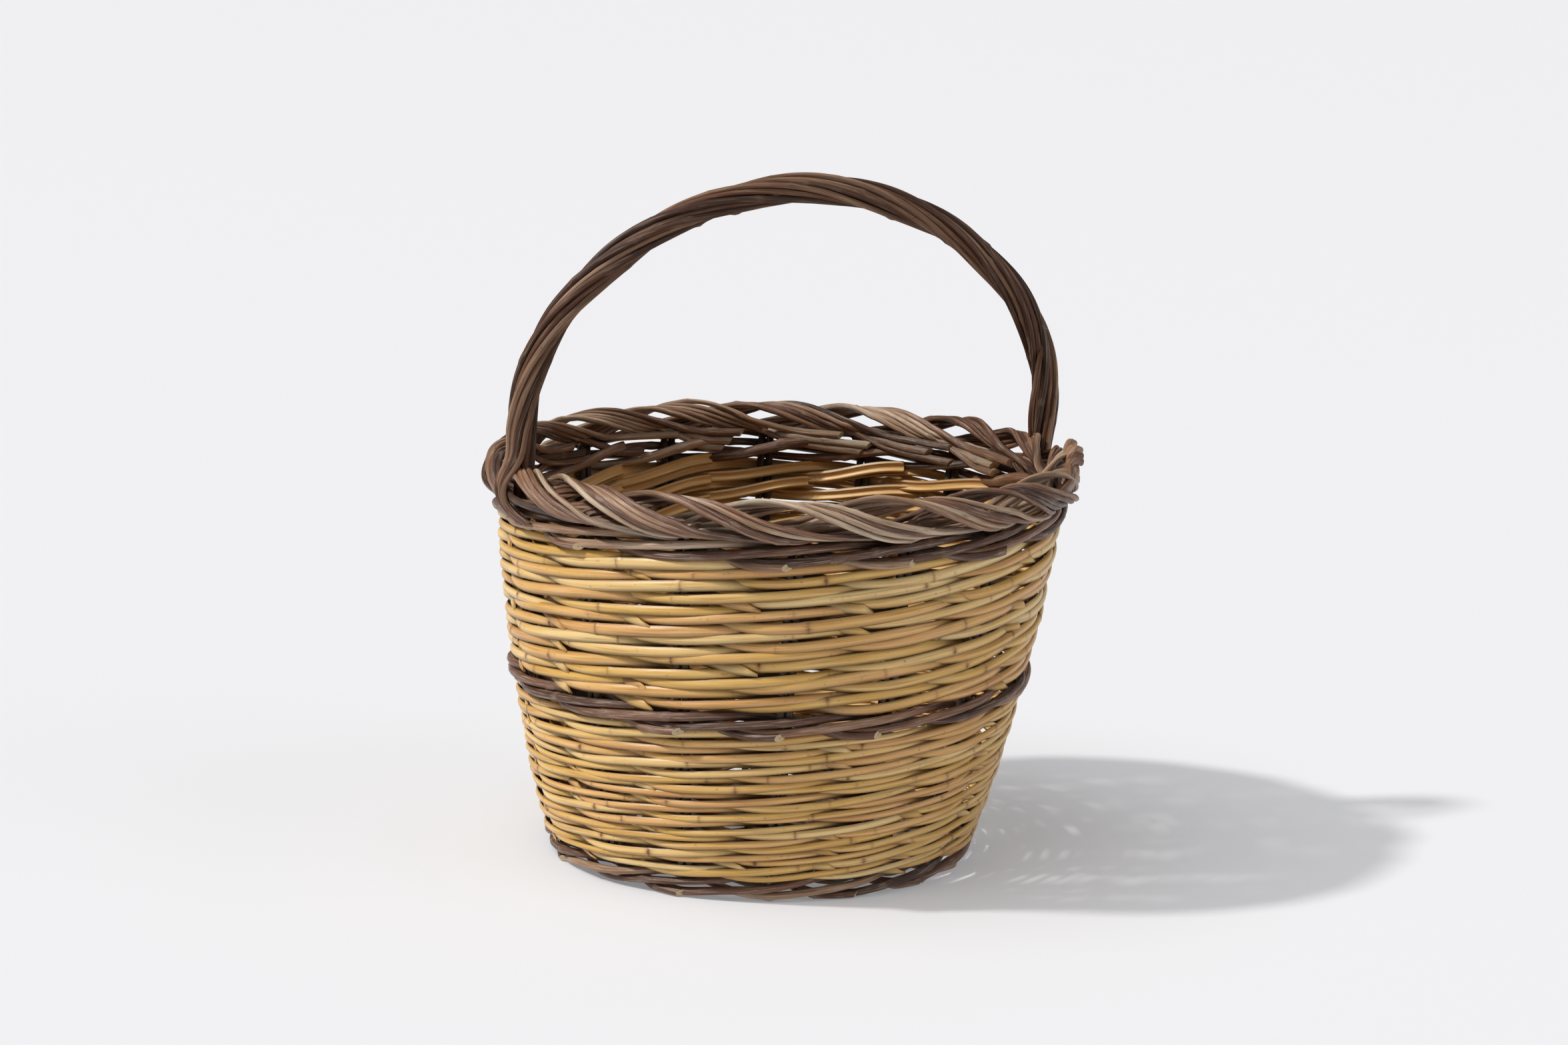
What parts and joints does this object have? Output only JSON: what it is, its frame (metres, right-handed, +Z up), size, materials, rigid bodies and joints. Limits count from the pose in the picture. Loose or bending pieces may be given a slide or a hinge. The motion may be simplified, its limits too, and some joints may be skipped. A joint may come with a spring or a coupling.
{
  "type": "woven market basket",
  "caption": "Round market basket woven from split cane and willow, with flared sides, a plaited willow border, a raised woven base and a fixed twisted hoop handle.",
  "frame": {"origin": "on the floor, under the middle of the rim", "axes": "+Z up out of the basket, +X along the handle's span, +Y across the handle"},
  "size_m": [0.3956, 0.38, 0.4416],
  "materials": {
    "split_cane": "smooth satin outer skin of split cane, straw yellow with darker nodes",
    "willow": "dry unpeeled bark, matt, grey brown",
    "stake_willow": "dry unpeeled bark, matt, dark brown",
    "base_willow": "dry unpeeled bark, matt",
    "dark_willow": "unpeeled bark rubbed to a low satin, reddish dark brown"
  },
  "bodies": {
    "root": {"foot_wale": "willow", "middle_wale": "willow", "top_wale": "willow", "lower_cane_row_01": "split_cane", "lower_cane_row_02": "split_cane", "lower_cane_row_03": "split_cane", "lower_cane_row_04": "split_cane", "lower_cane_row_05": "split_cane", "lower_cane_row_06": "split_cane", "lower_cane_row_07": "split_cane", "lower_cane_row_08": "split_cane", "lower_cane_row_09": "split_cane", "lower_cane_row_10": "split_cane", "upper_cane_row_01": "split_cane", "upper_cane_row_02": "split_cane", "upper_cane_row_03": "split_cane", "upper_cane_row_04": "split_cane", "upper_cane_row_05": "split_cane", "upper_cane_row_06": "split_cane", "upper_cane_row_07": "split_cane", "stake_pair_01": "stake_willow", "stake_pair_02": "stake_willow", "stake_pair_03": "stake_willow", "stake_pair_04": "stake_willow", "stake_pair_05": "stake_willow", "stake_pair_06": "stake_willow", "stake_pair_07": "stake_willow", "stake_pair_08": "stake_willow", "stake_pair_09": "stake_willow", "stake_pair_10": "stake_willow", "stake_pair_11": "stake_willow", "stake_pair_12": "stake_willow", "stake_pair_13": "stake_willow", "stake_pair_14": "stake_willow", "stake_pair_15": "stake_willow", "stake_pair_16": "stake_willow", "base_sticks": "base_willow", "base_weave": "base_willow", "border_plait_01": "willow", "border_plait_02": "willow", "border_plait_03": "willow", "border_plait_04": "willow", "border_plait_05": "willow", "border_plait_06": "willow", "border_plait_07": "willow", "border_plait_08": "willow", "border_plait_09": "willow", "border_plait_10": "willow", "border_plait_11": "willow", "border_plait_12": "willow", "border_plait_13": "willow", "border_plait_14": "willow", "border_plait_15": "willow", "border_plait_16": "willow", "handle_core": "dark_willow", "handle_rod_01": "dark_willow", "handle_rod_02": "dark_willow", "handle_rod_03": "dark_willow", "handle_rod_04": "dark_willow", "handle_rod_05": "dark_willow"}
  },
  "joints": []
}
